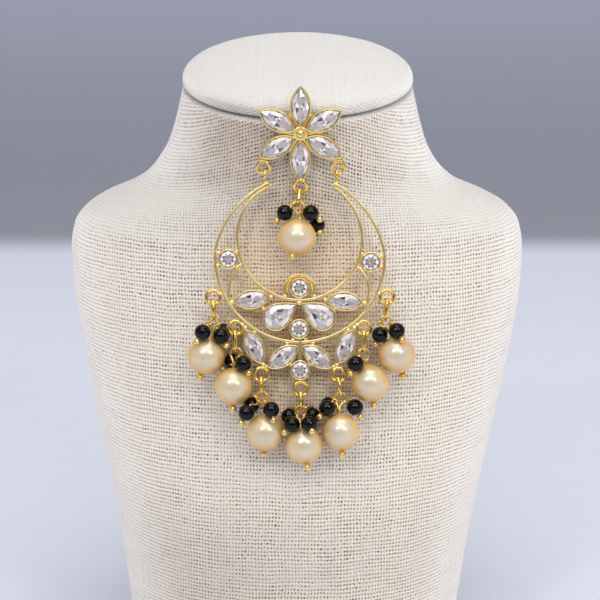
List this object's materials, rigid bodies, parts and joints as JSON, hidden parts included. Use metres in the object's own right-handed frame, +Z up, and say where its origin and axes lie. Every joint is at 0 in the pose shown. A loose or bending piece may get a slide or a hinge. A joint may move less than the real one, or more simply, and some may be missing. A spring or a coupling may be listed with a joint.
{
  "type": "chandbali earring on a neck bust",
  "caption": "Chandbali earring: a crystal flower stud, a hinged open crescent set with stones, and pearl and bead drops, pinned to a plain linen neck bust.",
  "frame": {"origin": "middle of the bust's flat bottom, on the surface it stands on", "axes": "+Z up, the earring and the bust's front face -Y, +X to the right seen from the front"},
  "size_m": [0.1004, 0.0732, 0.1343],
  "materials": {
    "linen": "open plain weave, matt",
    "linen_cap": "open plain weave, matt",
    "gold": "polished gold plating",
    "crystal": "faceted and clear",
    "pearl": "pearl lustre",
    "black_bead": "glossy"
  },
  "bodies": {
    "stand": {"bust_form": "linen", "neck_cap": "linen_cap", "flower_frame": "gold", "petal_stone_1": "crystal", "petal_stone_2": "crystal", "petal_stone_3": "crystal", "petal_stone_4": "crystal", "petal_stone_5": "crystal", "petal_stone_6": "crystal", "link_centre": "gold", "pearl_centre": "pearl", "pins_centre": "gold", "beads_centre": "black_bead"},
    "crescent": {"crescent_frame": "gold", "round_stone_left": "crystal", "round_stone_right": "crystal", "round_stone_arch": "crystal", "round_stone_centre": "crystal", "round_stone_bottom": "crystal", "side_marquise_left": "crystal", "side_marquise_right": "crystal", "pear_stone_left": "crystal", "pear_stone_right": "crystal", "low_marquise_1": "crystal", "low_marquise_2": "crystal", "low_marquise_3": "crystal", "low_marquise_4": "crystal", "link_1": "gold", "link_2": "gold", "link_3": "gold", "link_4": "gold", "link_5": "gold", "link_6": "gold", "link_7": "gold", "pearl_1": "pearl", "pearl_2": "pearl", "pearl_3": "pearl", "pearl_4": "pearl", "pearl_5": "pearl", "pearl_6": "pearl", "pearl_7": "pearl", "pins_1": "gold", "pins_2": "gold", "pins_3": "gold", "pins_4": "gold", "pins_5": "gold", "pins_6": "gold", "pins_7": "gold", "beads_1": "black_bead", "beads_2": "black_bead", "beads_3": "black_bead", "beads_4": "black_bead", "beads_5": "black_bead", "beads_6": "black_bead", "beads_7": "black_bead"}
  },
  "joints": [
    {"name": "crescent_swing", "type": "hinge", "parent": "stand", "child": "crescent", "pos_m": [0.0008, -0.02515, 0.11112], "axis": [-1, 0, 0], "range_deg": [0, 60]}
  ]
}
